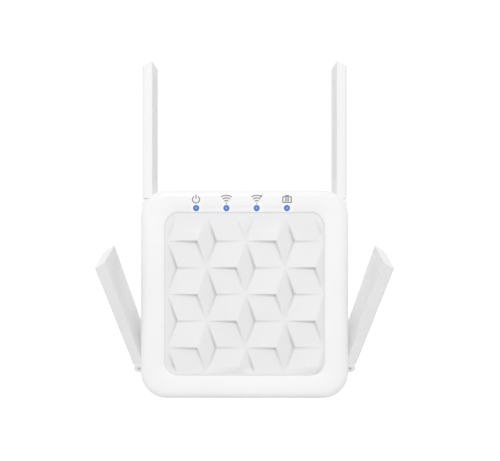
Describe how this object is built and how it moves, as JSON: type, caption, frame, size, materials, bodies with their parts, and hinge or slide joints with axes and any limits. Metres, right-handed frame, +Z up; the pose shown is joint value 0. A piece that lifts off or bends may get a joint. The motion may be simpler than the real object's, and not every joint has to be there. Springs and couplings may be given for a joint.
{
  "type": "wifi range extender",
  "caption": "White square plug-in WiFi range extender with star-relief front, blue status lights and folding flat antennas.",
  "frame": {"origin": "middle of the plug base's face where it meets the wall, on the housing's centre line", "axes": "+X right seen from the front, +Z up, front faces -Y, plug pins point along +Y into the wall"},
  "size_m": [0.1042, 0.0867, 0.1436],
  "materials": {
    "white_shell": "fine satin white ABS",
    "relief_white": "satin white moulded relief",
    "light_guide": "clear guide lit blue from behind",
    "steel": "bright zinc",
    "label": "blank printed label stock",
    "plug_white": "fine matte",
    "nickel": "nickel plated",
    "sleeve_black": "matte insulation",
    "brass": "spring brass",
    "board_green": "solder mask",
    "led_blue": "lit blue",
    "chip_black": "moulded epoxy",
    "aluminium": "extruded",
    "jack_metal": "stamped shield",
    "gold": "gold plated",
    "ferrite": "sintered ferrite",
    "tape_yellow": "winding tape",
    "capacitor": "shrink sleeve",
    "copper": "enamelled wire",
    "ceramic": "glazed",
    "button_white": "satin",
    "button_grey": "matte",
    "antenna_white": "satin white",
    "antenna_inner": "fine matte white",
    "antenna_strip": "copper on laminate"
  },
  "bodies": {
    "housing": {"front_cover": "white_shell", "relief_panel": "relief_white", "light_guide": "light_guide", "rear_housing": "white_shell", "housing_screws": "steel", "rating_label": "label", "plug_base": "plug_white", "plug_pins": "nickel", "pin_sleeves": "sleeve_black", "contact_leaves": "brass", "main_board": "board_green", "status_leds": "led_blue", "shield_can": "steel", "wifi_chip": "chip_black", "memory_chips": "chip_black", "line_transformer": "chip_black", "heat_sink": "aluminium", "rj45_jack": "jack_metal", "rj45_contacts": "gold", "antenna_connectors": "gold", "coax_leads": "sleeve_black", "board_header": "gold", "power_board": "board_green", "transformer_core": "ferrite", "transformer_winding": "tape_yellow", "bulk_capacitors": "capacitor", "mains_choke": "copper", "bridge_rectifier": "chip_black", "fuse": "ceramic", "wps_switch": "chip_black", "reset_switch": "chip_black"},
    "wps_button": {"wps_button": "button_white"},
    "reset_button": {"reset_button": "button_grey"},
    "upper_left_swivel": {"upper_left_hub": "antenna_white", "upper_left_clip": "steel", "upper_left_hinge_pin": "steel"},
    "upper_left_antenna": {"upper_left_blade": "antenna_white", "upper_left_blade_cover": "antenna_inner", "upper_left_element": "antenna_strip"},
    "upper_right_swivel": {"upper_right_hub": "antenna_white", "upper_right_clip": "steel", "upper_right_hinge_pin": "steel"},
    "upper_right_antenna": {"upper_right_blade": "antenna_white", "upper_right_blade_cover": "antenna_inner", "upper_right_element": "antenna_strip"},
    "lower_left_swivel": {"lower_left_hub": "antenna_white", "lower_left_clip": "steel", "lower_left_hinge_pin": "steel"},
    "lower_left_antenna": {"lower_left_blade": "antenna_white", "lower_left_blade_cover": "antenna_inner", "lower_left_element": "antenna_strip"},
    "lower_right_swivel": {"lower_right_hub": "antenna_white", "lower_right_clip": "steel", "lower_right_hinge_pin": "steel"},
    "lower_right_antenna": {"lower_right_blade": "antenna_white", "lower_right_blade_cover": "antenna_inner", "lower_right_element": "antenna_strip"}
  },
  "joints": [
    {"name": "upper_left_swivel", "type": "hinge", "parent": "housing", "child": "upper_left_swivel", "pos_m": [-0.0406, -0.0109, 0.032], "axis": [1, 0, 0], "range_deg": [0, 90]},
    {"name": "upper_left_fold", "type": "hinge", "parent": "upper_left_swivel", "child": "upper_left_antenna", "pos_m": [-0.04285, -0.0109, 0.0385], "axis": [0, -1, 0], "range_deg": [0, 90]},
    {"name": "upper_right_swivel", "type": "hinge", "parent": "housing", "child": "upper_right_swivel", "pos_m": [0.0406, -0.0109, 0.032], "axis": [1, 0, 0], "range_deg": [0, 90]},
    {"name": "upper_right_fold", "type": "hinge", "parent": "upper_right_swivel", "child": "upper_right_antenna", "pos_m": [0.04285, -0.0109, 0.0385], "axis": [0, 1, 0], "range_deg": [0, 90]},
    {"name": "lower_left_swivel", "type": "hinge", "parent": "housing", "child": "lower_left_swivel", "pos_m": [-0.0406, -0.0251, -0.032], "axis": [1, 0, 0], "range_deg": [-8, 82]},
    {"name": "lower_left_fold", "type": "hinge", "parent": "lower_left_swivel", "child": "lower_left_antenna", "pos_m": [-0.04285, -0.0291, -0.02688], "axis": [0, -0.788, -0.6157], "range_deg": [-7.8, 82.2]},
    {"name": "lower_right_swivel", "type": "hinge", "parent": "housing", "child": "lower_right_swivel", "pos_m": [0.0406, -0.0251, -0.032], "axis": [1, 0, 0], "range_deg": [-8, 82]},
    {"name": "lower_right_fold", "type": "hinge", "parent": "lower_right_swivel", "child": "lower_right_antenna", "pos_m": [0.04285, -0.0291, -0.02688], "axis": [0, 0.788, 0.6157], "range_deg": [-7.8, 82.2]},
    {"name": "wps_press", "type": "slide", "parent": "housing", "child": "wps_button", "axis": [0, 0, 1], "range_m": [0, 0.0006], "stiffness_N_per_m": 400, "springref_m": -0.0005},
    {"name": "reset_press", "type": "slide", "parent": "housing", "child": "reset_button", "axis": [0, 0, 1], "range_m": [0, 0.0006], "stiffness_N_per_m": 400, "springref_m": -0.0005}
  ]
}
